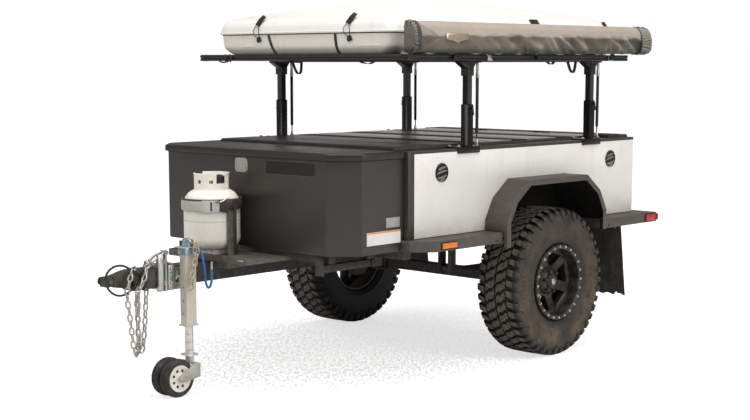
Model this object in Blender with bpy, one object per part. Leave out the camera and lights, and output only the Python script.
"""Two-wheeled off-road trailer parked on its jack, with a lift rack, a roof tent and an awning bag.

Units are metres and +Z is up. The hitch points along -Y. Every number is written from the axle:
Y = 0 is the wheels' centre, and the root empty carries the whole trailer to the middle of its box.
"""

import math

import bmesh
import bpy
from mathutils import Matrix, Vector

GAP = 0.0003          # between pieces that touch
CLEAR = 0.0055        # between pieces that pass each other

# Reach of the whole trailer
FRONT_END = -2.612    # coupler head
REAR_END = 1.068      # tail lamps
AXLE_Y = -(FRONT_END + REAR_END) / 2

# Wheels
TYRE_R = 0.4445
TYRE_W = 0.300
WHEEL_X = 0.826
WHEEL_FACETS = 36
TREAD_R = 0.4305
BORE_R = 0.2235
BORE_HALF = 0.117

# Chassis levels
DRAWBAR_Z = (0.572, 0.677)
RAIL_Z = (0.688, 0.788)
STEP_Z = (0.728, 0.788)
FLOOR_Z = (0.788 + GAP, 0.800)
RAIL_X = (0.425, 0.475)
STEP_X = (0.7875, 0.955)
STEP_CORNER = 0.100   # cut off the front steps' outer corners
FRONT_STEP_Y = (-1.215, -0.535)
REAR_STEP_Y = (0.455, 1.060)

# Load body
PANEL_X = (0.802, 0.8217)
BODY_REAR = 0.975
PANEL_Y = (-1.1407, BODY_REAR)
PANEL_Z = (0.791, 1.2525)
VENTS_Y = (-0.917, 0.713)
VENT_Z = 1.1425
VENT_R = 0.053
POST_X = (0.772, 0.8220)
FRONT_POST_Y = (-1.1907, -1.1410)
REAR_POST_X = (0.740, PANEL_X[0] - GAP)
REAR_POST_Y = (BODY_REAR - 0.035, BODY_REAR)
BUMPER_Y = (BODY_REAR + GAP, 1.060)
TOP_RAIL_X = (0.690, 0.8220)
TOP_RAIL_Z = (1.2530, 1.270)
COVER_X = 0.715
REAR_COVER_X = 0.780
COVER_Z = (1.270 + GAP, 1.284)
COVER_JOINTS = (-0.588, -0.143, 0.302)
COVER_HINGE = (0.746, 1.2900)
GATE_HINGE = (BODY_REAR + 0.0105, 0.799)

# Fender arch, half outline from its own middle: along Y, height
ARCH_Y = -0.040
ARCH = ((0.490, 0.7885), (0.490, 0.850), (0.420, 0.975), (0.285, 1.075))
FENDER_X = (0.620, 0.985)
FENDER_LIP = 0.034
LEG_Z = {"front": 0.700, "rear": 0.730}
SHEET = 0.004

# Nose box: plan outline, then levels
NOSE_FRONT = (0.654, -1.646)
NOSE_SIDE = (0.787, -1.513)
NOSE_REAR_Y = -1.1915
NOSE_Z = (0.727, 1.262)
LID_Z = (1.235, 1.272)
LID_OVER = 0.018
LID_HINGE = (-1.198, 1.268)

# Rack: posts at +-RACK_POST_X and at the two places along Y
RACK_POST_X = 0.766
RACK_POST_Y = {"front": -0.6335, "rear": 0.556}
SOCKET_TUBE = 0.025
INNER_POST = 0.019
STRUT_OFF = 0.088
RACK_X = 0.853
RACK_Y = (-1.252, 0.877)
RACK_Z = (1.753, 1.790)

# Tent shell: half width, front and rear at each level
TENT_SEAM_Z = 1.908
TENT_HINGE = (0.985, 1.9085)

# Jack
JACK = (0.125, -2.150)
JACK_PIVOT_Z = 0.600
JACK_WHEEL = (-2.265, 0.1015)
JACK_TUBE_X = (0.099, 0.151)
JACK_TUBE_Y = (-2.184, -2.116)
JACK_TUBE_Z = (0.363, 0.745)

TONGUE_HALF = 0.048
NOSE_TUBE_HALF = 0.035
STABILIZER_X = 0.570
STABILIZER_Z = 0.650
BOTTLE = (-0.063, -1.820)

# name: base colour, metallic, roughness
LOOKS = {
    "black_steel": ((0.020, 0.021, 0.023), 0.3, 0.45),
    "white_paint": ((0.780, 0.790, 0.800), 0.0, 0.35),
    "charcoal_paint": ((0.055, 0.053, 0.052), 0.2, 0.50),
    "grey_paint": ((0.330, 0.340, 0.350), 0.1, 0.45),
    "dark_liner": ((0.030, 0.031, 0.033), 0.0, 0.80),
    "deck_grey": ((0.420, 0.430, 0.430), 0.2, 0.60),
    "zinc": ((0.620, 0.620, 0.600), 0.9, 0.35),
    "blue_zinc": ((0.380, 0.560, 0.680), 0.8, 0.30),
    "brass": ((0.620, 0.480, 0.240), 0.9, 0.35),
    "cream_paint": ((0.640, 0.600, 0.520), 0.0, 0.50),
    "rubber": ((0.018, 0.018, 0.019), 0.0, 0.85),
    "rim_black": ((0.028, 0.029, 0.031), 0.4, 0.40),
    "jack_rubber": ((0.030, 0.030, 0.028), 0.0, 0.80),
    "tank_white": ((0.800, 0.800, 0.790), 0.0, 0.40),
    "amber": ((0.850, 0.300, 0.020), 0.0, 0.20),
    "red": ((0.550, 0.020, 0.015), 0.0, 0.20),
    "tent_grey": ((0.560, 0.570, 0.580), 0.0, 0.45),
    "canvas": ((0.090, 0.095, 0.090), 0.0, 0.95),
    "blue_vinyl": ((0.050, 0.300, 0.600), 0.0, 0.45),
    "black_vinyl": ((0.015, 0.015, 0.016), 0.0, 0.55),
}

for old in list(bpy.data.objects):
    bpy.data.objects.remove(old)

ROOT = bpy.data.objects.new("trailer_root", None)
ROOT.location = (0.0, AXLE_Y, 0.0)
bpy.context.scene.collection.objects.link(ROOT)


def make_looks():
    found = {}
    for name, (colour, metallic, roughness) in LOOKS.items():
        material = bpy.data.materials.new(name)
        material.use_nodes = True
        shader = material.node_tree.nodes["Principled BSDF"]
        shader.inputs["Base Color"].default_value = (*colour, 1.0)
        shader.inputs["Metallic"].default_value = metallic
        shader.inputs["Roughness"].default_value = roughness
        found[name] = material
    return found


MATERIALS = make_looks()


def lift(pair, axis, value):
    """The point whose axis coordinate is value and whose other two, in XYZ order, are the pair."""
    a, b = pair
    return {"x": (value, a, b), "y": (a, value, b), "z": (a, b, value)}[axis]


def circle(radius, sides, centre=(0.0, 0.0), facet_down=True):
    """Points of a regular polygon with a flat side at the bottom."""
    step = 2 * math.pi / sides
    start = -math.pi / 2 + (step / 2 if facet_down else 0)
    turns = [start + step * k for k in range(sides)]
    return [(centre[0] + radius * math.cos(t), centre[1] + radius * math.sin(t)) for t in turns]


def rounded(half_x, y_low, y_high, corner, steps=3):
    """A rectangle in plan with rounded corners."""
    points = []
    corners = (
        (half_x - corner, y_high - corner, 0.0),
        (-half_x + corner, y_high - corner, 90.0),
        (-half_x + corner, y_low + corner, 180.0),
        (half_x - corner, y_low + corner, 270.0),
    )
    for cx, cy, first in corners:
        for k in range(steps + 1):
            turn = math.radians(first + 90.0 * k / steps)
            points.append((cx + corner * math.cos(turn), cy + corner * math.sin(turn)))
    return points


def offset(outline, distance):
    """The outline moved outwards by distance, with sharp corners. It runs anticlockwise."""
    moved = []
    count = len(outline)
    for i in range(count):
        before = Vector(outline[i]) - Vector(outline[i - 1])
        after = Vector(outline[(i + 1) % count]) - Vector(outline[i])
        first = Vector((before.y, -before.x)).normalized()
        second = Vector((after.y, -after.x)).normalized()
        middle = (first + second) / (1.0 + first.dot(second))
        moved.append(tuple(Vector(outline[i]) + middle * distance))
    return moved


class Shape:
    """Closed shells kept in one mesh. side = -1 mirrors what is added to the trailer's right."""

    def __init__(self, side=1):
        self.side = side
        self.points = []
        self.faces = []

    def shell(self, points, faces):
        first = len(self.points)
        self.points += [Vector((self.side * p[0], p[1], p[2])) for p in points]
        self.faces += [[first + i for i in face] for face in faces]
        return self

    def box(self, x, y, z):
        points = [(a, b, c) for a in x for b in y for c in z]
        faces = ((0, 1, 3, 2), (4, 6, 7, 5), (0, 4, 5, 1), (2, 3, 7, 6), (0, 2, 6, 4), (1, 5, 7, 3))
        return self.shell(points, faces)

    def loft(self, rings):
        """Rings of equal count joined in order, with the first and the last filled."""
        count = len(rings[0])
        last = (len(rings) - 1) * count
        faces = [list(range(count)), [last + i for i in range(count)]]
        for r in range(len(rings) - 1):
            low = r * count
            high = low + count
            for i in range(count):
                j = (i + 1) % count
                faces.append((low + i, low + j, high + j, high + i))
        return self.shell([p for ring in rings for p in ring], faces)

    def prism(self, outline, axis, low, high):
        return self.loft([[lift(p, axis, value) for p in outline] for value in (low, high)])

    def rod(self, start, end, radius, sides=12):
        start = Vector(start)
        along = Vector(end) - start
        turn = along.to_track_quat("Z", "Y").to_matrix()
        rings = []
        for reach in (0.0, along.length):
            rings.append([start + turn @ Vector((*p, reach)) for p in circle(radius, sides)])
        return self.loft(rings)

    def turned(self, profile, axis, centre, sides=24):
        """A solid of revolution: (radius, along) from one end to the other, both ends filled."""
        rings = []
        for radius, along in profile:
            rings.append([lift(p, axis, along) for p in circle(radius, sides, centre)])
        return self.loft(rings)

    def ring(self, profile, axis, centre, sides=24):
        """A solid of revolution round a hole: the (radius, along) profile is a closed loop."""
        count = len(profile)
        points = []
        for k in range(sides):
            for radius, along in profile:
                points.append(lift(circle(radius, sides, centre)[k], axis, along))
        faces = []
        for k in range(sides):
            near = k * count
            far = (k + 1) % sides * count
            for i in range(count):
                j = (i + 1) % count
                faces.append((near + i, near + j, far + j, far + i))
        return self.shell(points, faces)


def mesh_of(name, shape, pivot):
    mesh = bpy.data.meshes.new(name)
    build = bmesh.new()
    corners = [build.verts.new(point - Vector(pivot)) for point in shape.points]
    for face in shape.faces:
        build.faces.new([corners[i] for i in face])
    bmesh.ops.recalc_face_normals(build, faces=build.faces)
    build.to_mesh(mesh)
    build.free()
    return mesh


def part(name, look, shape, add=None, cut=None, pivot=(0.0, 0.0, 0.0)):
    """One named piece: the shape, then what is added to it, then what is cut from both."""
    piece = bpy.data.objects.new(name, mesh_of(name, shape, pivot))
    bpy.context.scene.collection.objects.link(piece)
    piece.parent = ROOT
    piece.location = pivot
    piece.data.materials.append(MATERIALS[look])
    for operation, other in (("UNION", add), ("DIFFERENCE", cut)):
        if other is None:
            continue
        helper_name = f"{name}_{operation.lower()}"
        helper = bpy.data.objects.new(helper_name, mesh_of(helper_name, other, pivot))
        bpy.context.scene.collection.objects.link(helper)
        helper.parent = ROOT
        helper.location = pivot
        helper.hide_render = True
        helper.display_type = "WIRE"
        step = piece.modifiers.new(operation.title(), "BOOLEAN")
        step.operation = operation
        step.solver = "EXACT"
        step.use_self = True
        step.object = helper
    return piece


def join(piece, label, shape, pivot=(0.0, 0.0, 0.0)):
    """Adds a shape to a finished piece, after its cuts."""
    name = f"{piece.name}_{label}"
    helper = bpy.data.objects.new(name, mesh_of(name, shape, pivot))
    bpy.context.scene.collection.objects.link(helper)
    helper.parent = ROOT
    helper.location = pivot
    helper.hide_render = True
    helper.display_type = "WIRE"
    step = piece.modifiers.new(label.title(), "BOOLEAN")
    step.operation = "UNION"
    step.solver = "EXACT"
    step.use_self = True
    step.object = helper


SIDES = ((1, "left"), (-1, "right"))


def sized(middle, half):
    return (middle - half, middle + half)


def arch_outline(grow=0.0, drop=0.0):
    """The fender's arch as a closed outline in (Y, Z), grown outwards, its foot lowered by drop."""
    rear = [(ARCH_Y + y, z) for y, z in ARCH]
    front = [(ARCH_Y - y, z) for y, z in reversed(ARCH)]
    grown = offset(rear + front, grow)
    foot = ARCH[0][1] - drop
    return [(grown[0][0], foot)] + grown[1:-1] + [(grown[-1][0], foot)]


# ---------------------------------------------------------------- wheels

# Across the tread: x, radius, raised radius of the lug that starts here (0 where none does)
TREAD_COLUMNS = (
    (-0.117, 0.2235, 0.0),
    (-0.148, 0.3000, 0.0),
    (-0.149, 0.3720, 0.0),
    (-0.134, 0.4190, 0.4350),
    (-0.078, 0.4305, 0.0),
    (-0.070, 0.4305, 0.4445),
    (-0.004, 0.4305, 0.0),
    (0.004, 0.4305, 0.4445),
    (0.070, 0.4305, 0.0),
    (0.078, 0.4305, 0.4445),
    (0.134, 0.4190, 0.0),
    (0.149, 0.3720, 0.0),
    (0.148, 0.3000, 0.0),
    (0.117, 0.2235, 0.0),
)
LUG_EVEN = {3: 0, 5: 1, 7: 0, 9: 1}
LUG_END_R = {3: 0.4445, 5: 0.4445, 7: 0.4445, 9: 0.4350}


def tyre_shape(side):
    """A tyre about the wheel's axis whose lugs are raised cells of its tread."""
    shape = Shape(side)
    columns = len(TREAD_COLUMNS)
    scale = 1.0 / math.cos(math.pi / WHEEL_FACETS)
    turns = circle(1.0, WHEEL_FACETS)
    points = []
    for cos, sin in turns:
        for x, radius, _ in TREAD_COLUMNS:
            points.append((WHEEL_X + x, radius * scale * cos, TYRE_R + radius * scale * sin))
    faces = []
    for k in range(WHEEL_FACETS):
        ahead = (k + 1) % WHEEL_FACETS
        for i in range(columns):
            j = (i + 1) % columns
            cell = (k * columns + i, k * columns + j, ahead * columns + j, ahead * columns + i)
            if i not in LUG_EVEN or k % 2 != LUG_EVEN[i]:
                faces.append(cell)
                continue
            top = len(points)
            raised = ((k, i, TREAD_COLUMNS[i][2]), (k, j, LUG_END_R[i]))
            raised += ((ahead, j, LUG_END_R[i]), (ahead, i, TREAD_COLUMNS[i][2]))
            for turn, column, radius in raised:
                cos, sin = turns[turn]
                x = WHEEL_X + TREAD_COLUMNS[column][0]
                points.append((x, radius * scale * cos, TYRE_R + radius * scale * sin))
            for n in range(4):
                m = (n + 1) % 4
                faces.append((cell[n], cell[m], top + m, top + n))
            faces.append((top, top + 1, top + 2, top + 3))
    return shape.shell(points, faces)


# Rim: radius, distance outwards from the wheel's middle
RIM_LOOP = (
    (0.2231, -0.1165),
    (0.2231, 0.1170),
    (0.2280, 0.1205),
    (0.2260, 0.1380),
    (0.1960, 0.1380),
    (0.1920, 0.0600),
    (0.0800, 0.0480),
    (0.0560, 0.0850),
    (0.0225, 0.0850),
    (0.0225, -0.1050),
    (0.1300, -0.1050),
    (0.1300, -0.0400),
    (0.0650, -0.0300),
    (0.0650, 0.0300),
    (0.2080, 0.0350),
    (0.2080, -0.1165),
)
RIM_WINDOWS = 6
WINDOW_R = (0.088, 0.184)
WINDOW_HALF_TURN = math.radians(20)


def rim_shape(side):
    scale = 1.0 / math.cos(math.pi / WHEEL_FACETS)
    loop = [(radius * scale, WHEEL_X + x) for radius, x in RIM_LOOP]
    return Shape(side).ring(loop, "x", (0.0, TYRE_R), WHEEL_FACETS)


def rim_windows(side):
    cuts = Shape(side)
    for k in range(RIM_WINDOWS):
        middle = 2 * math.pi * k / RIM_WINDOWS
        outline = []
        for radius, turns in ((WINDOW_R[0], (-1, 1)), (WINDOW_R[1], (1, 0, -1))):
            for turn in turns:
                angle = middle + turn * WINDOW_HALF_TURN
                outline.append((radius * math.cos(angle), TYRE_R + radius * math.sin(angle)))
        cuts.prism(outline, "x", WHEEL_X + 0.0100, WHEEL_X + 0.090)
    return cuts


for side, word in SIDES:
    hub = (side * WHEEL_X, 0.0, TYRE_R)
    part(f"tyre_{word}", "rubber", tyre_shape(side), pivot=hub)
    cap_ends = (WHEEL_X + 0.078, WHEEL_X + 0.094)
    cap = Shape(side).turned([(0.034, cap_ends[0]), (0.030, cap_ends[1])], "x", (0.0, TYRE_R), 20)
    part(f"rim_{word}", "rim_black", rim_shape(side), add=cap, cut=rim_windows(side), pivot=hub)

# ---------------------------------------------------------------- axle and springs

AXLE_HALF = 0.0325
AXLE_Z = (TYRE_R - 0.0395, TYRE_R + 0.0255)
SPRING_X = 0.450
SPRING_HALF = 0.030
EYE_Y = 0.430
EYE_Z = AXLE_Z[1] + 0.055
EYE_R = 0.018
EYE_PIN_R = 0.0085

axle = Shape().box((-0.665, 0.665), (-AXLE_HALF, AXLE_HALF), AXLE_Z)
axle_more = Shape()
for side in (1, -1):
    axle_more.rod((side * 0.640, 0.0, TYRE_R), (side * 0.890, 0.0, TYRE_R), 0.020)
    ends = (side * 0.700, side * 0.7115)
    axle_more.turned([(0.125, ends[0]), (0.125, ends[1])], "x", (0.0, TYRE_R), 24)
part("axle_beam", "black_steel", axle, add=axle_more)

# Leaves of one spring from the top: half length, top and bottom above the axle
LEAVES = ((EYE_Y, 0.0450, 0.0360), (0.330, 0.0362, 0.0270), (0.230, 0.0272, 0.0180), (0.150, 0.0182, 0.0006))
SPRING_RISE = 0.0115 / 0.430**2


def leaf_outline(half, top, bottom):
    steps = [half * (k / 3 - 1) for k in range(7)]
    upper = [(y, AXLE_Z[1] + top + SPRING_RISE * y * y) for y in steps]
    lower = [(y, AXLE_Z[1] + bottom + SPRING_RISE * y * y) for y in reversed(steps)]
    return lower + upper


for side, word in SIDES:
    x = sized(SPRING_X, SPRING_HALF)
    spring = Shape(side).prism(leaf_outline(*LEAVES[0]), "x", *x)
    more = Shape(side)
    for leaf in LEAVES[1:]:
        more.prism(leaf_outline(leaf[0], leaf[1] + 0.001, leaf[2]), "x", *x)
    for end in (-1, 1):
        more.rod((x[0], end * EYE_Y, EYE_Z), (x[1], end * EYE_Y, EYE_Z), EYE_R, 12)
    more.box(sized(SPRING_X, 0.036), (-0.060, 0.060), (AXLE_Z[1] + 0.044, AXLE_Z[1] + 0.056))
    for leg_y in (-0.045, 0.045):
        for leg_x in (SPRING_X - 0.040, SPRING_X + 0.040):
            more.rod((leg_x, leg_y, AXLE_Z[0] - 0.025), (leg_x, leg_y, AXLE_Z[1] + 0.064), 0.006, 8)
        more.box(sized(SPRING_X, 0.046), sized(leg_y, 0.006), (AXLE_Z[1] + 0.054, AXLE_Z[1] + 0.066))
    more.box(sized(SPRING_X, 0.050), (-0.062, 0.062), (AXLE_Z[0] - 0.013, AXLE_Z[0] - GAP))
    cut = Shape(side)
    for end in (-1, 1):
        cut.rod((x[0] - 0.01, end * EYE_Y, EYE_Z), (x[1] + 0.01, end * EYE_Y, EYE_Z), EYE_PIN_R + 0.0006, 12)
    part(f"leaf_spring_{word}", "black_steel", spring, add=more, cut=cut)

# ---------------------------------------------------------------- chassis

drawbar = Shape().box((-TONGUE_HALF, TONGUE_HALF), (-2.447, -0.300), DRAWBAR_Z)
drawbar_more = Shape()
NOSE_SIDE_VIEW = ((-2.562, 0.602), (-2.562, 0.654), (-2.470, 0.6765), (-2.430, 0.6765), (-2.430, 0.590), (-2.490, 0.590))
drawbar_more.prism(NOSE_SIDE_VIEW, "x", -NOSE_TUBE_HALF, NOSE_TUBE_HALF)
drawbar_more.box((TONGUE_HALF - 0.001, 0.105), (-2.409, -2.395), (0.574, 0.582))
BEARERS_Y = (-1.550, -1.250)
for y in BEARERS_Y:
    drawbar_more.box((-0.600, 0.600), sized(y, 0.025), (DRAWBAR_Z[1] - 0.0015, NOSE_Z[0] - GAP))
HEAD_Z = 0.628
drawbar_cut = Shape().rod((0.0, -2.60, HEAD_Z), (0.0, -2.470, HEAD_Z), 0.0165, 16)
part("drawbar", "black_steel", drawbar, add=drawbar_more, cut=drawbar_cut)

RAIL_Y = (-1.1905, BODY_REAR)
frame = Shape().box(RAIL_X, RAIL_Y, RAIL_Z)
frame_more = Shape().box((-RAIL_X[1], -RAIL_X[0]), RAIL_Y, RAIL_Z)
# Crossmembers: middle along Y, half width along Y, half reach along X, underside
CROSSMEMBERS = (
    (-1.1605, 0.030, STEP_X[0] - GAP, DRAWBAR_Z[1] + GAP),
    (-0.640, 0.025, RAIL_X[1], DRAWBAR_Z[1] + GAP),
    (0.000, 0.025, 0.460, STEP_Z[0]),
    (0.520, 0.025, 0.600, STEP_Z[0]),
    (BODY_REAR - 0.025, 0.025, 0.770, STEP_Z[0]),
)
for y, half, reach, under in CROSSMEMBERS:
    frame_more.box((-reach, reach), sized(y, half), (under, RAIL_Z[1]))
# Stabilizers: where the pin is along Y, which way the arm points, and its reach
STABILIZERS = (("front", -1.215, -1, 0.405), ("rear", 0.420, 1, 0.590))
CHEEKS = (0.0255, 0.0315)


def joined(target, source):
    """Adds the shells of one shape to another as they stand."""
    shift = len(target.points)
    target.points += [p.copy() for p in source.points]
    target.faces += [[shift + i for i in face] for face in source.faces]


frame_cut = Shape()
for side, word in SIDES:
    here = Shape(side)
    bores = Shape(side)
    here.box((0.460, 0.610), sized(0.420, 0.025), STEP_Z)
    for end in (-1, 1):
        here.box(sized(SPRING_X, 0.0425), sized(end * EYE_Y, 0.036), sized(RAIL_Z[0] - 0.002, 0.008))
        for cheek in (-1, 1):
            near = SPRING_X + cheek * 0.0355
            here.box(sorted((near, near + cheek * 0.006)), sized(end * EYE_Y, 0.034), (EYE_Z - 0.030, RAIL_Z[0] + 0.002))
        pin = (0.405, 0.495)
        here.rod((pin[0], end * EYE_Y, EYE_Z), (pin[1], end * EYE_Y, EYE_Z), EYE_PIN_R, 12)
    for _, y, way, _ in STABILIZERS:
        for cheek in (-1, 1):
            plate = sorted((STABILIZER_X + cheek * CHEEKS[0], STABILIZER_X + cheek * CHEEKS[1]))
            if way < 0:
                here.box(plate, (y - 0.024, CROSSMEMBERS[0][0]), (0.628, DRAWBAR_Z[1] - 0.008))
                here.box(plate, (y - 0.009, CROSSMEMBERS[0][0]), (0.628, 0.700))
            else:
                here.box(plate, sized(y, 0.024), (0.628, 0.740))
        bores.rod((STABILIZER_X - 0.050, y, STABILIZER_Z), (STABILIZER_X + 0.050, y, STABILIZER_Z), 0.0095, 12)
    joined(frame_more, here)
    joined(frame_cut, bores)

    plan = (
        (STEP_X[0], FRONT_STEP_Y[0]),
        (STEP_X[1] - STEP_CORNER, FRONT_STEP_Y[0]),
        (STEP_X[1], FRONT_STEP_Y[0] + STEP_CORNER),
        (STEP_X[1], FRONT_STEP_Y[1]),
        (STEP_X[0], FRONT_STEP_Y[1]),
    )
    step = Shape(side).prism(plan, "z", *STEP_Z)
    step_more = Shape(side)
    for y in (-1.050, -0.575):
        step_more.box((RAIL_X[1] + GAP, STEP_X[0] + 0.010), sized(y, 0.025), STEP_Z)
    part(f"side_step_{word}", "black_steel", step, add=step_more)
part("main_frame", "black_steel", frame, add=frame_more, cut=frame_cut)

bumper = Shape().box((-STEP_X[1], STEP_X[1]), BUMPER_Y, STEP_Z)
bumper_more = Shape()
for side in (1, -1):
    x = sorted((side * STEP_X[0], side * STEP_X[1]))
    bumper_more.box(x, REAR_STEP_Y, STEP_Z)
    for hinge_x in (0.265, 0.620):
        ends = sorted((side * hinge_x, side * (hinge_x + 0.060)))
        bumper_more.box(ends, (GATE_HINGE[0] - 0.007, GATE_HINGE[0] + 0.007), (0.780, GATE_HINGE[1]))
        bumper_more.rod((ends[0], *GATE_HINGE), (ends[1], *GATE_HINGE), 0.007, 12)
part("rear_bumper", "black_steel", bumper, add=bumper_more)

for side, word in SIDES:
    for label, y, way, reach in STABILIZERS:
        foot = y + way * reach
        arm = Shape(side).box(sized(STABILIZER_X, 0.020), sorted((y - way * 0.020, foot - way * 0.004)), sized(STABILIZER_Z, 0.020))
        more = Shape(side).box(sized(STABILIZER_X, 0.030), sorted((foot, foot - way * 0.008)), (0.614, 0.709))
        pin_x = (STABILIZER_X - 0.036, STABILIZER_X + 0.036)
        more.rod((pin_x[0], y, STABILIZER_Z), (pin_x[1], y, STABILIZER_Z), 0.008, 12)
        pivot = (side * STABILIZER_X, y, STABILIZER_Z)
        part(f"stabilizer_{label}_{word}", "grey_paint", arm, add=more, pivot=pivot)

# ---------------------------------------------------------------- load body

WELL_Y = (ARCH_Y - ARCH[0][0] - GAP * 2, ARCH_Y + ARCH[0][0] + GAP * 2)
floor = Shape().box((-0.7715, 0.7715), (-1.1770, REAR_POST_Y[0] - GAP), FLOOR_Z)
floor_cut = Shape()
for side in (1, -1):
    floor_cut.box(sorted((side * (FENDER_X[0] - GAP * 2), side * 0.80)), WELL_Y, (0.70, 0.90))
part("body_floor", "dark_liner", floor, cut=floor_cut)

part("front_wall", "charcoal_paint", Shape().box((-0.7715, 0.7715), (-1.1905, -1.1773), (FLOOR_Z[0], 1.2527)))

body = Shape().box(POST_X, FRONT_POST_Y, (FLOOR_Z[0], 1.262))
body_more = Shape()
body_more.box((-POST_X[1], -POST_X[0]), FRONT_POST_Y, (FLOOR_Z[0], 1.262))
for side in (1, -1):
    x = sorted((side * REAR_POST_X[0], side * REAR_POST_X[1]))
    inner = sorted((side * POST_X[0], side * (PANEL_X[0] - GAP)))
    rail = sorted((side * TOP_RAIL_X[0], side * TOP_RAIL_X[1]))
    body_more.box(x, REAR_POST_Y, (FLOOR_Z[0], 1.262))
    for y in RACK_POST_Y.values():
        body_more.box(inner, sized(y, 0.025), (FLOOR_Z[0], 1.262))
    body_more.box(rail, (FRONT_POST_Y[0], REAR_POST_Y[1]), TOP_RAIL_Z)
for y in (FRONT_POST_Y, (REAR_POST_Y[0], REAR_POST_Y[1])):
    body_more.box((-0.800, 0.800), y, TOP_RAIL_Z)
part("body_frame", "charcoal_paint", body, add=body_more)

for side, word in SIDES:
    panel = Shape(side).box(PANEL_X, PANEL_Y, PANEL_Z)
    vents = Shape(side)
    for y in VENTS_Y:
        vents.turned([(VENT_R, PANEL_X[1] - 0.006), (VENT_R, PANEL_X[1] + 0.003)], "x", (y, VENT_Z), 20)
    arch = Shape(side).prism(arch_outline(GAP * 1.5, 0.05), "x", 0.780, 0.850)
    part(f"side_panel_{word}", "white_paint", panel, add=vents, cut=arch)

    fender = Shape(side).prism(arch_outline(), "x", *FENDER_X)
    well = Shape(side).prism(arch_outline(-SHEET, 0.05), "x", FENDER_X[0] + SHEET, FENDER_X[1] - SHEET)
    well.prism(arch_outline(-FENDER_LIP, 0.06), "x", FENDER_X[1] - 0.02, FENDER_X[1] + 0.02)
    fender_piece = part(f"fender_{word}", "black_steel", fender, cut=well)
    legs = Shape(side)
    for label, way in (("front", -1), ("rear", 1)):
        foot = sorted((ARCH_Y + way * ARCH[0][0], ARCH_Y + way * (ARCH[0][0] - FENDER_LIP)))
        legs.box((FENDER_X[1] - 0.024, FENDER_X[1]), foot, (LEG_Z[label], ARCH[0][1] + 0.010))
    join(fender_piece, "legs", legs)

cover = Shape().box((-COVER_X, COVER_X), (-1.190, COVER_HINGE[0] - 0.004), COVER_Z)
cover_more = Shape()
cover_cut = Shape()
for y in COVER_JOINTS:
    cover_cut.box((-0.80, 0.80), sized(y, 0.004), (COVER_Z[1] - 0.005, 1.300))
rear_cover = Shape().box((-REAR_COVER_X, REAR_COVER_X), (COVER_HINGE[0] + 0.004, BODY_REAR - 0.008), COVER_Z)
rear_cover_more = Shape()
KNUCKLE_R = 0.0055
for side in (1, -1):
    for first, target, away in ((0.200, cover_more, -1), (0.262, rear_cover_more, 1)):
        ends = sorted((side * first, side * (first + 0.060)))
        target.rod((ends[0], *COVER_HINGE), (ends[1], *COVER_HINGE), KNUCKLE_R, 12)
        tab = sorted((COVER_HINGE[0], COVER_HINGE[0] + away * 0.030))
        target.box(ends, tab, (COVER_Z[1] - 0.002, COVER_HINGE[1]))
part("cover_panels", "deck_grey", cover, add=cover_more, cut=cover_cut)
part(
    "cover_rear_panel",
    "deck_grey",
    rear_cover,
    add=rear_cover_more,
    pivot=(0.0, *COVER_HINGE),
)

GATE_Y = (BODY_REAR - 0.022, BODY_REAR - 0.002)
gate = Shape().box((-REAR_POST_X[0] + CLEAR, REAR_POST_X[0] - CLEAR), GATE_Y, (0.806, 1.2475))
gate_more = Shape().box((-0.070, 0.070), (GATE_Y[1] - 0.008, GATE_Y[1] + 0.010), (1.150, 1.200))
for side in (1, -1):
    for hinge_x in (0.203, 0.558):
        ends = sorted((side * hinge_x, side * (hinge_x + 0.060)))
        gate_more.rod((ends[0], *GATE_HINGE), (ends[1], *GATE_HINGE), 0.007, 12)
        gate_more.box(ends, (GATE_Y[1] - 0.008, GATE_HINGE[0] + 0.004), (GATE_HINGE[1], 0.822))
part("tailgate", "white_paint", gate, add=gate_more, pivot=(0.0, *GATE_HINGE))

# ---------------------------------------------------------------- nose box


def nose_plan(grow, rear):
    """The box's outline from above, grown on the front and the sides only."""
    half = (
        (NOSE_SIDE[0] + grow, rear),
        (NOSE_SIDE[0] + grow, NOSE_SIDE[1] - grow * 0.414),
        (NOSE_FRONT[0] + grow * 0.414, NOSE_FRONT[1] - grow),
    )
    return [(x, y) for x, y in half] + [(-x, y) for x, y in reversed(half)]


box_wall = 0.004
nose = Shape().prism(nose_plan(0.0, NOSE_REAR_Y), "z", *NOSE_Z)
nose_more = Shape()
nose_cut = Shape().prism(nose_plan(-box_wall, NOSE_REAR_Y - box_wall), "z", NOSE_Z[0] + box_wall, 1.30)
lid = Shape().prism(nose_plan(LID_OVER, LID_HINGE[0] - 0.0065), "z", *LID_Z)
lid_cut = Shape().prism(nose_plan(LID_OVER - box_wall, LID_HINGE[0] + 0.05), "z", 1.20, LID_Z[1] - box_wall)
lid_more = Shape()
for side in (1, -1):
    for first, target, reach in ((0.500, nose_more, 1), (0.562, lid_more, -1)):
        ends = sorted((side * first, side * (first + 0.060)))
        target.rod((ends[0], *LID_HINGE), (ends[1], *LID_HINGE), KNUCKLE_R, 12)
    ends = sorted((side * 0.500, side * 0.560))
    nose_more.box(ends, (LID_HINGE[0], NOSE_REAR_Y), (1.250, LID_HINGE[1]))
    ends = sorted((side * 0.562, side * 0.622))
    lid_more.box(ends, (LID_HINGE[0] - 0.030, LID_HINGE[0]), (LID_HINGE[1], LID_Z[1]))
part("nose_box", "charcoal_paint", nose, add=nose_more, cut=nose_cut)
lid_piece = part("nose_lid", "charcoal_paint", lid, cut=lid_cut, pivot=(0.0, *LID_HINGE))
join(lid_piece, "hinges", lid_more, (0.0, *LID_HINGE))

# ---------------------------------------------------------------- lamps and flaps

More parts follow.
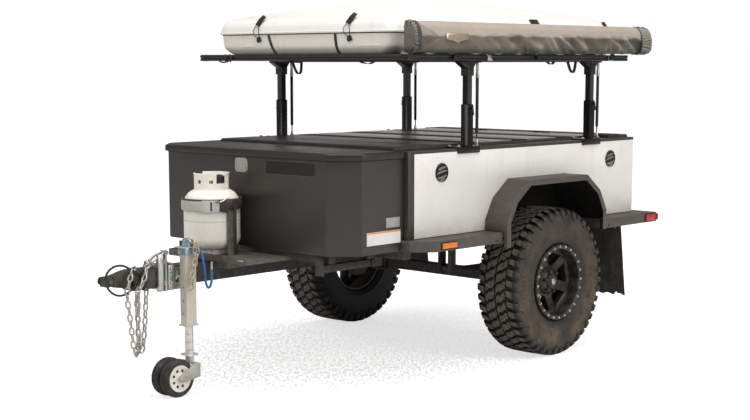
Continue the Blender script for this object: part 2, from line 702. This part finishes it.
for side, word in SIDES:
    x = (STEP_X[1] + GAP, STEP_X[1] + 0.010)
    marker = Shape(side).box(x, (-1.064, -0.945), (0.742, 0.772))
    part(f"marker_lamp_{word}", "amber", marker)
    lamp = Shape(side).box(x, (0.932, 1.033), (0.737, 0.779))
    lamp_more = Shape(side).box((0.700, x[1]), (BUMPER_Y[1] + GAP, REAR_END), (0.737, 0.779))
    lamp_more.box((x[0], x[0] + 0.0025), (1.030, REAR_END), (0.755, 0.761))
    part(f"tail_lamp_{word}", "red", lamp, add=lamp_more)
    top, bottom = (0.660, STEP_Z[0] - GAP), (0.722, 0.274)
    outline = (bottom, (bottom[0] + 0.005, bottom[1]), (top[0] + 0.005, top[1]), top)
    part(f"mud_flap_{word}", "rubber", Shape(side).prism(outline, "x", 0.700, 0.950))

# ---------------------------------------------------------------- gas bottle

TRAY_Z = (0.6915, 0.7053)
bottle = Shape().turned(
    [(0.060, 0.724), (0.120, 0.736), (0.150, 0.765), (0.155, 0.790), (0.155, 0.975), (0.145, 1.015), (0.110, 1.048), (0.060, 1.066)],
    "z",
    BOTTLE,
    28,
)
bottle_more = Shape()
bottle_more.ring([(0.094, TRAY_Z[1] + GAP), (0.104, TRAY_Z[1] + GAP), (0.104, 0.750), (0.094, 0.750)], "z", BOTTLE, 20)
bottle_more.ring([(0.092, 1.040), (0.098, 1.040), (0.098, 1.145), (0.092, 1.145)], "z", BOTTLE, 20)
bottle_more.turned([(0.016, 1.060), (0.016, 1.110), (0.026, 1.112), (0.026, 1.132)], "z", BOTTLE, 12)
bottle_cut = Shape()
for turn in (20.0, 140.0, 260.0):
    cos, sin = math.cos(math.radians(turn)), math.sin(math.radians(turn))
    outline = []
    for along, across in ((0.05, -0.045), (0.13, -0.045), (0.13, 0.045), (0.05, 0.045)):
        outline.append((BOTTLE[0] + along * cos - across * sin, BOTTLE[1] + along * sin + across * cos))
    bottle_cut.prism(outline, "z", 1.075, 1.122)
part("gas_bottle", "tank_white", bottle, add=bottle_more, cut=bottle_cut)

tray = Shape().box((-0.240, 0.400), (-1.985, -1.655), TRAY_Z)
tray_more = Shape()
tray_more.box((-0.240, 0.400), (-1.985, -1.979), (TRAY_Z[0], 0.728))
tray_more.box((-0.240, -0.234), (-1.985, -1.655), (TRAY_Z[0], 0.728))
for y in (-1.940, -1.700):
    tray_more.box((-0.045, 0.045), sized(y, 0.020), (DRAWBAR_Z[1] + GAP, TRAY_Z[0] + 0.002))
tray_more.box((0.060, 0.190), (-1.930, -1.760), (0.650, TRAY_Z[0] + 0.002))
tray_more.box((0.0985, 0.1038), (-1.850, -1.790), (TRAY_Z[0] + 0.003, 1.012))
tray_more.ring([(0.159, 0.958), (0.168, 0.958), (0.168, 1.012), (0.159, 1.012)], "z", BOTTLE, 20)
part("bottle_tray", "grey_paint", tray, add=tray_more)

strap = Shape().ring([(0.1702, 0.952), (0.1727, 0.952), (0.1727, 1.000), (0.1702, 1.000)], "z", BOTTLE, 20)
strap_more = Shape().box(sized(BOTTLE[0] + 0.030, 0.022), (-1.9980, -1.9885), (0.948, 1.004))
part("bottle_strap", "black_vinyl", strap, add=strap_more)

# ---------------------------------------------------------------- jack

jx, jy = JACK
pivot_yz = (jy, JACK_PIVOT_Z)
bracket = Shape().box((TONGUE_HALF + GAP, 0.056), (-2.300, -2.085), (0.553, 0.672))
bracket_more = Shape()
bracket_more.rod((0.050, *pivot_yz), (0.0845, *pivot_yz), 0.028, 20)
bracket_more.rod((0.060, *pivot_yz), (0.0940, *pivot_yz), 0.018, 16)
bracket_more.box((0.0483, 0.0680), (-2.300, -2.245), (0.553, 0.750))
bracket_more.box((-0.064, 0.066), (-2.300, -2.245), (DRAWBAR_Z[1] + GAP, 0.686))
bracket_more.box((-0.064, 0.066), (-2.300, -2.245), (0.563, DRAWBAR_Z[0] - GAP))
bracket_more.box((-0.066, -0.0483), (-2.300, -2.245), (0.563, 0.686))
bracket_more.rod((0.076, -2.258, 0.553), (0.076, -2.258, 0.773), 0.0065, 10)
bracket_more.box((0.060, 0.078), (-2.268, -2.248), (0.590, 0.610))
bracket_more.box((0.060, 0.078), (-2.268, -2.248), (0.700, 0.720))
part("jack_bracket", "zinc", bracket, add=bracket_more)

tube_pivot = (jx, *pivot_yz)
tube = Shape().box(JACK_TUBE_X, JACK_TUBE_Y, JACK_TUBE_Z)
tube_more = Shape().box((0.092, 0.158), (-2.191, -2.109), (JACK_TUBE_Z[0], 0.372))
tube_more.rod((0.0875, *pivot_yz), (0.103, *pivot_yz), 0.034, 20)
tube_cut = Shape().rod((jx, jy, 0.30), (jx, jy, 0.737), 0.0235, 20)
tube_cut.rod((0.080, *pivot_yz), (0.0985, *pivot_yz), 0.0195, 16)
for z in (0.430, 0.500, 0.570):
    tube_cut.rod((jx - 0.003, -2.200, z), (jx - 0.003, -2.160, z), 0.006, 8)
part("jack_tube", "cream_paint", tube, add=tube_more, cut=tube_cut, pivot=tube_pivot)

head = Shape().box((0.093, 0.157), (-2.190, -2.112), (JACK_TUBE_Z[1] + GAP, 0.782))
head_more = Shape().turned([(0.030, 0.776), (0.030, 0.786), (0.018, 0.793)], "z", JACK, 16)
head_more.rod((jx, -2.120, 0.764), (jx, -2.098, 0.764), 0.013, 12)
part("jack_head", "blue_zinc", head, add=head_more, pivot=tube_pivot)

ram = Shape().rod((jx, jy, 0.162), (jx, jy, 0.600), 0.022, 20)
ram_more = Shape().box(sized(jx, 0.030), sized(jy, 0.030), (0.205, 0.211))
ram_more.box(sized(jx, 0.072), (-2.166, -2.126), (0.158, 0.165))
fork = (
    (-2.145, 0.170),
    (-2.145, 0.092),
    (-2.200, 0.090),
    (-2.262, 0.080),
    (-2.282, 0.092),
    (-2.282, 0.112),
    (-2.262, 0.124),
    (-2.202, 0.148),
    (-2.196, 0.170),
)
for low, high in ((jx - 0.072, jx - 0.067), (jx + 0.067, jx + 0.072)):
    ram_more.prism(fork, "x", low, high)
ram_more.rod((jx - 0.0715, *JACK_WHEEL), (jx + 0.079, *JACK_WHEEL), 0.008, 12)
ram_more.rod((jx + 0.070, *JACK_WHEEL), (jx + 0.079, *JACK_WHEEL), 0.013, 6)
part("jack_ram", "zinc", ram, add=ram_more, pivot=(jx, jy, 0.300))

JACK_WHEEL_R = 0.1015
JACK_WHEEL_FACETS = 18
half_profile = (
    (0.0095, 0.062),
    (0.0300, 0.062),
    (0.0380, 0.052),
    (0.0840, 0.052),
    (0.1015, 0.055),
    (0.1015, 0.008),
    (0.0950, 0.003),
    (0.0500, 0.003),
)
scale = 1.0 / math.cos(math.pi / JACK_WHEEL_FACETS)
loop = [(r * scale, jx - x) for r, x in half_profile] + [(r * scale, jx + x) for r, x in reversed(half_profile)]
wheels = Shape().ring(loop, "x", JACK_WHEEL, JACK_WHEEL_FACETS)
part("jack_wheels", "jack_rubber", wheels, pivot=(jx, *JACK_WHEEL))


def tube_curve(name, look, points, radius, pivot=(0.0, 0.0, 0.0), resolution=2):
    """A cord or a bent wire: a round tube through the points."""
    curve = bpy.data.curves.new(name, "CURVE")
    curve.dimensions = "3D"
    curve.bevel_depth = radius
    curve.bevel_resolution = resolution
    curve.use_fill_caps = True
    line = curve.splines.new("POLY")
    line.points.add(len(points) - 1)
    for spot, point in zip(line.points, points):
        spot.co = (point[0] - pivot[0], point[1] - pivot[1], point[2] - pivot[2], 1.0)
    curve.materials.append(MATERIALS[look])
    cord = bpy.data.objects.new(name, curve)
    bpy.context.scene.collection.objects.link(cord)
    cord.parent = ROOT
    cord.location = pivot
    return cord


def smooth(points, steps=4):
    """A Catmull-Rom line through the points."""
    spots = [Vector(p) for p in points]
    spots = [2 * spots[0] - spots[1]] + spots + [2 * spots[-1] - spots[-2]]
    line = []
    for a, b, c, d in zip(spots, spots[1:], spots[2:], spots[3:]):
        for k in range(steps):
            t = k / steps
            line.append(
                0.5 * (2 * b + (c - a) * t + (2 * a - 5 * b + 4 * c - d) * t**2 + (3 * b - a - 3 * c + d) * t**3)
            )
    return line + [spots[-2]]


CRANK = (
    (jx, -2.088, 0.764),
    (jx, -2.078, 0.762),
    (jx + 0.012, -2.066, 0.740),
    (jx + 0.030, -2.062, 0.660),
    (jx + 0.036, -2.060, 0.590),
    (jx + 0.055, -2.058, 0.560),
    (jx + 0.078, -2.056, 0.590),
    (jx + 0.080, -2.055, 0.660),
)
crank_line = [Vector((jx, -2.098 + GAP, 0.764))] + smooth(CRANK, 3)
tube_curve("jack_crank", "blue_vinyl", crank_line, 0.007, tube_pivot, 2)

# ---------------------------------------------------------------- coupler, chains and cable

HEAD_AXIS = (0.0, HEAD_Z)
PIN_Y = FRONT_END + 0.0225
coupler = Shape().box((-0.026, 0.026), (FRONT_END + 0.006, -2.567), (0.606, 0.657))
coupler_more = Shape().rod((-0.040, PIN_Y, 0.633), (0.042, PIN_Y, 0.633), 0.0135, 14)
for low, high in ((-0.040, -0.033), (0.035, 0.042)):
    coupler_more.rod((low, PIN_Y, 0.633), (high, PIN_Y, 0.633), 0.0225, 18)
coupler_more.rod((0.0, -2.580, HEAD_Z), (0.0, -2.480, HEAD_Z), 0.0145, 16)
coupler_more.rod((0.0, -2.574, HEAD_Z), (0.0, -2.567, HEAD_Z), 0.028, 20)
part("coupler_head", "black_steel", coupler, add=coupler_more, pivot=(0.0, -2.580, HEAD_Z))

LINK_HALF_LENGTH = 0.0310
LINK_HALF_WIDTH = 0.0170
LINK_WIRE = 0.0053
LINK_PITCH = 0.0480


def chain_shape(path):
    """Links along the path, each turned a quarter from the one before, their ends just biting."""
    line = smooth(path, 16)
    joints = [line[0]]
    for a, b in zip(line, line[1:]):
        while (b - joints[-1]).length >= LINK_PITCH:
            low, high = 0.0, 1.0
            for _ in range(30):
                half = (low + high) / 2
                if (a.lerp(b, half) - joints[-1]).length < LINK_PITCH:
                    low = half
                else:
                    high = half
            joints.append(a.lerp(b, high))
    base, rest = Shape(), Shape()
    for k, (start, end) in enumerate(zip(joints, joints[1:])):
        centre = (start + end) / 2
        along = (end - start).normalized()
        side_way = along.cross(Vector((1.0, 0.35, 0.0))).normalized()
        across = side_way if k % 2 else along.cross(side_way).normalized()
        normal = along.cross(across).normalized()
        target = rest if k else base
        oval = []
        for p, q in ((-0.55, -1.0), (0.55, -1.0), (1.0, 0.0), (0.55, 1.0), (-0.55, 1.0), (-1.0, 0.0)):
            oval.append((p, q))
        points = []
        for p, q in oval:
            spot = centre + along * (p * (LINK_HALF_LENGTH - LINK_WIRE)) + across * (q * (LINK_HALF_WIDTH - LINK_WIRE))
            out = (along * p * 1.0 + across * q).normalized()
            for c, s in ((1, 0), (0, 1), (-1, 0), (0, -1)):
                points.append(spot + out * (c * LINK_WIRE) + normal * (s * LINK_WIRE))
        faces = []
        for i in range(6):
            j = (i + 1) % 6
            for m in range(4):
                n = (m + 1) % 4
                faces.append((4 * i + m, 4 * i + n, 4 * j + n, 4 * j + m))
        target.shell(points, faces)
    return base, rest


SAFETY_CHAIN = (
    (0.022, -2.345, 0.6965),
    (0.052, -2.362, 0.6980),
    (0.077, -2.385, 0.6750),
    (0.087, -2.412, 0.630),
    (0.091, -2.458, 0.585),
    (0.092, -2.472, 0.520),
    (0.094, -2.461, 0.400),
    (0.093, -2.456, 0.300),
    (0.091, -2.438, 0.262),
    (0.090, -2.424, 0.310),
    (0.090, -2.418, 0.420),
    (0.090, -2.403, 0.567),
)
base, rest = chain_shape(SAFETY_CHAIN)
part("safety_chain", "zinc", base, add=rest)

JACK_CHAIN = (
    (0.150, -2.132, 0.8150),
    (0.181, -2.128, 0.8000),
    (0.185, -2.132, 0.740),
    (0.181, -2.150, 0.680),
    (0.178, -2.158, 0.580),
)
base, rest = chain_shape(JACK_CHAIN)
part("jack_chain", "brass", base, add=rest, pivot=tube_pivot)

CABLE_R = 0.0058
HOLDER_Y = (-2.404, -2.372)
CABLE = (
    (0.0562, -2.430, 0.664),
    (0.0562, -2.469, 0.688),
    (0.0580, -2.524, 0.714),
    (0.0620, -2.583, 0.713),
    (0.0660, -2.626, 0.687),
    (0.0670, -2.636, 0.651),
    (0.0660, -2.624, 0.608),
    (0.0640, -2.587, 0.574),
    (0.0620, -2.542, 0.561),
    (0.0600, -2.496, 0.569),
    (0.0580, -2.456, 0.592),
    (0.0562, -2.432, 0.601),
)
cable_line = [Vector((0.0562, HOLDER_Y[0] - reach, 0.654)) for reach in (GAP, 0.010)] + smooth(CABLE, 3)
cable_line += [Vector((0.0562, HOLDER_Y[0] - reach, 0.603)) for reach in (0.010, GAP)]
tube_curve("brake_cable", "black_vinyl", cable_line, CABLE_R)
clip = Shape().box((TONGUE_HALF + GAP, 0.0650), HOLDER_Y, (0.590, 0.666))
part("cable_plug", "black_vinyl", clip)

# ---------------------------------------------------------------- rack

SOCKET_TOP = 1.510
CLAMP_Y = (-0.150, 0.040)
CLAMP_Z = (1.240, 1.278)
CLAMP_X = (TOP_RAIL_X[1] + GAP, 0.8303)
for side, word in SIDES:
    for label, y in RACK_POST_Y.items():
        base_z = (TOP_RAIL_Z[1] + GAP, CLAMP_Z[1])
        post = Shape(side).box(sized(RACK_POST_X, SOCKET_TUBE), sized(y, SOCKET_TUBE), (base_z[0], SOCKET_TOP))
        more = Shape(side).box((0.741, CLAMP_X[1]), (y + CLAMP_Y[0], y + CLAMP_Y[1]), base_z)
        more.box(CLAMP_X, (y + CLAMP_Y[0], y + CLAMP_Y[1]), CLAMP_Z)
        more.box(sized(RACK_POST_X, 0.012), (y + CLAMP_Y[1] - 0.001, y + STRUT_OFF + 0.012), base_z)
        more.rod((RACK_POST_X, y + STRUT_OFF, 1.272), (RACK_POST_X, y + STRUT_OFF, 1.600), 0.0042, 8)
        hollow = Shape(side).box(sized(RACK_POST_X, 0.022), sized(y, 0.022), (1.2843, SOCKET_TOP + 0.020))
        part(f"rack_socket_{label}_{word}", "black_steel", post, add=more, cut=hollow)

RACK_PIVOT_Z = 1.735
HOOP_BAR_Z = (RACK_Z[0] - GAP - 0.006, RACK_Z[0] - GAP)
for label, y in RACK_POST_Y.items():
    bar = Shape().box((-RACK_POST_X - 0.024, RACK_POST_X + 0.024), sized(y, 0.020), HOOP_BAR_Z)
    more = Shape()
    cut = Shape()
    wedge = (
        (y - 0.026, 1.710),
        (y + 0.026, 1.710),
        (y + 0.050, 1.742),
        (y + STRUT_OFF + 0.010, 1.744),
        (y + STRUT_OFF + 0.010, HOOP_BAR_Z[1]),
        (y - 0.085, HOOP_BAR_Z[1]),
        (y - 0.085, 1.744),
    )
    for side in (1, -1):
        x = side * RACK_POST_X
        strut_y = y + STRUT_OFF
        more.box(sized(x, INNER_POST), sized(y, INNER_POST), (1.290, 1.735))
        more.box(sized(x, 0.026), sized(y, 0.026), (1.670, 1.732))
        more.prism(wedge, "x", x - 0.022, x + 0.022)
        more.rod((x, strut_y, 1.345), (x, strut_y, 1.672), 0.0092, 12)
        more.rod((x, strut_y, 1.668), (x, strut_y, 1.752), 0.0070, 10)
        cut.rod((x, strut_y, 1.330), (x, strut_y, 1.655), 0.0072, 10)
    part(f"rack_hoop_{label}", "black_steel", bar, add=more, cut=cut, pivot=(0.0, y, RACK_PIVOT_Z))

rail_outer = rounded(RACK_X, *RACK_Y, 0.030, 3)
platform = Shape().prism(rail_outer, "z", *RACK_Z)
platform_cut = Shape()
BOARDS = 10
span = (RACK_Y[0] + 0.040, RACK_Y[1] - 0.040)
pitch = (span[1] - span[0]) / BOARDS
for k in range(BOARDS):
    low = span[0] + k * pitch
    across = (-RACK_X + 0.040, RACK_X - 0.040)
    under = RACK_Z[0] - 0.053
    platform_cut.box(across, (low + pitch - 0.060, low + pitch - 0.008), (under, RACK_Z[1] + 0.060))
    platform_cut.box(across, (low, low + pitch - 0.050), (under, RACK_Z[1] - 0.018))
platform_more = Shape()
AWNING_X = (0.870, 0.955)
AWNING_Y = (-1.275, 0.964)
AWNING_Z = (1.795, 1.968)
for y in (-0.850, -0.100, 0.650):
    foot = RACK_Z[0] + 0.007
    platform_more.box((RACK_X - 0.010, AWNING_X[0] - GAP), sized(y, 0.020), (foot, foot + 0.020))
    platform_more.box((AWNING_X[0] - 0.006, AWNING_X[0] - GAP), sized(y, 0.020), (foot, AWNING_Z[1] - 0.028))
part("rack_platform", "black_steel", platform, add=platform_more, cut=platform_cut, pivot=(0.0, 0.0, RACK_PIVOT_Z))

# ---------------------------------------------------------------- tent and awning

# Shell levels: height, half width, front, rear, corner radius
TENT_BASE = (
    (RACK_Z[1] + GAP, 0.636, -1.160, 0.930, 0.050),
    (RACK_Z[1] + 0.012, 0.662, -1.180, 0.945, 0.055),
    (RACK_Z[1] + 0.040, 0.690, -1.196, 0.960, 0.055),
    (TENT_SEAM_Z - GAP, 0.700, -1.203, 0.968, 0.055),
)
TENT_LID = (
    (TENT_SEAM_Z, 0.708, -1.208, TENT_HINGE[0], 0.055),
    (TENT_SEAM_Z + 0.044, 0.704, -1.205, 0.981, 0.060),
    (TENT_SEAM_Z + 0.076, 0.682, -1.182, 0.960, 0.065),
    (TENT_SEAM_Z + 0.098, 0.630, -1.130, 0.910, 0.080),
    (TENT_SEAM_Z + 0.130, 0.500, -0.980, 0.770, 0.100),
    (TENT_SEAM_Z + 0.162, 0.360, -0.760, 0.550, 0.100),
    (TENT_SEAM_Z + 0.186, 0.200, -0.480, 0.280, 0.080),
    (TENT_SEAM_Z + 0.196, 0.080, -0.250, 0.060, 0.050),
)


def shell_rings(levels, shrink, drop=0.0):
    rings = []
    for z, half, front, rear, corner in levels:
        plan = rounded(half - shrink, front + shrink, rear - shrink, max(corner - shrink, 0.01), 3)
        rings.append([(x, y, z + drop) for x, y in plan])
    return rings


TENT_WALL = 0.005
tent_base = Shape().loft(shell_rings(TENT_BASE, 0.0))
hollow_levels = ((TENT_BASE[0][0] + 0.006, *TENT_BASE[0][1:]),) + TENT_BASE[1:] + ((TENT_SEAM_Z + 0.092, *TENT_BASE[-1][1:]),)
tent_base_cut = Shape().loft(shell_rings(hollow_levels, TENT_WALL))
part("tent_base", "tent_grey", tent_base, cut=tent_base_cut)

tent_lid = Shape().loft(shell_rings(TENT_LID, 0.0))
lid_hollow = ((TENT_SEAM_Z - 0.058, *TENT_LID[0][1:]),) + tuple((z - 0.008 if k else z, a, b, c, d) for k, (z, a, b, c, d) in enumerate(TENT_LID))
tent_lid_cut = Shape().loft(shell_rings(lid_hollow, TENT_WALL + 0.003))
part("tent_lid", "tent_grey", tent_lid, cut=tent_lid_cut, pivot=(0.0, *TENT_HINGE))

FABRIC_LEVELS = ((RACK_Z[1] + 0.0075, 0.545), (RACK_Z[1] + 0.040, 0.575), (TENT_SEAM_Z - 0.013, 0.600))
folded = Shape().loft(
    [[(x, y, z) for x, y in rounded(half, -1.080, 0.840, 0.060, 2)] for z, half in FABRIC_LEVELS]
)
part("tent_fabric", "canvas", folded)


def bag_ring(y, shrink):
    low, high = AWNING_X[0] + shrink, AWNING_X[1] - shrink
    bottom, top = AWNING_Z[0] + shrink, AWNING_Z[1] - shrink
    corner = 0.028
    points = []
    corners = ((high - corner, top - corner, 0), (low + corner, top - corner, 90), (low + corner, bottom + corner, 180), (high - corner, bottom + corner, 270))
    for cx, cz, first in corners:
        for k in range(4):
            turn = math.radians(first + 30 * k)
            points.append((cx + corner * math.cos(turn), y, cz + corner * math.sin(turn)))
    return points


bag = Shape().loft(
    [bag_ring(AWNING_Y[0], 0.010), bag_ring(AWNING_Y[0] + 0.012, 0.0), bag_ring(AWNING_Y[1] - 0.012, 0.0), bag_ring(AWNING_Y[1], 0.010)]
)
part("awning_bag", "canvas", bag)
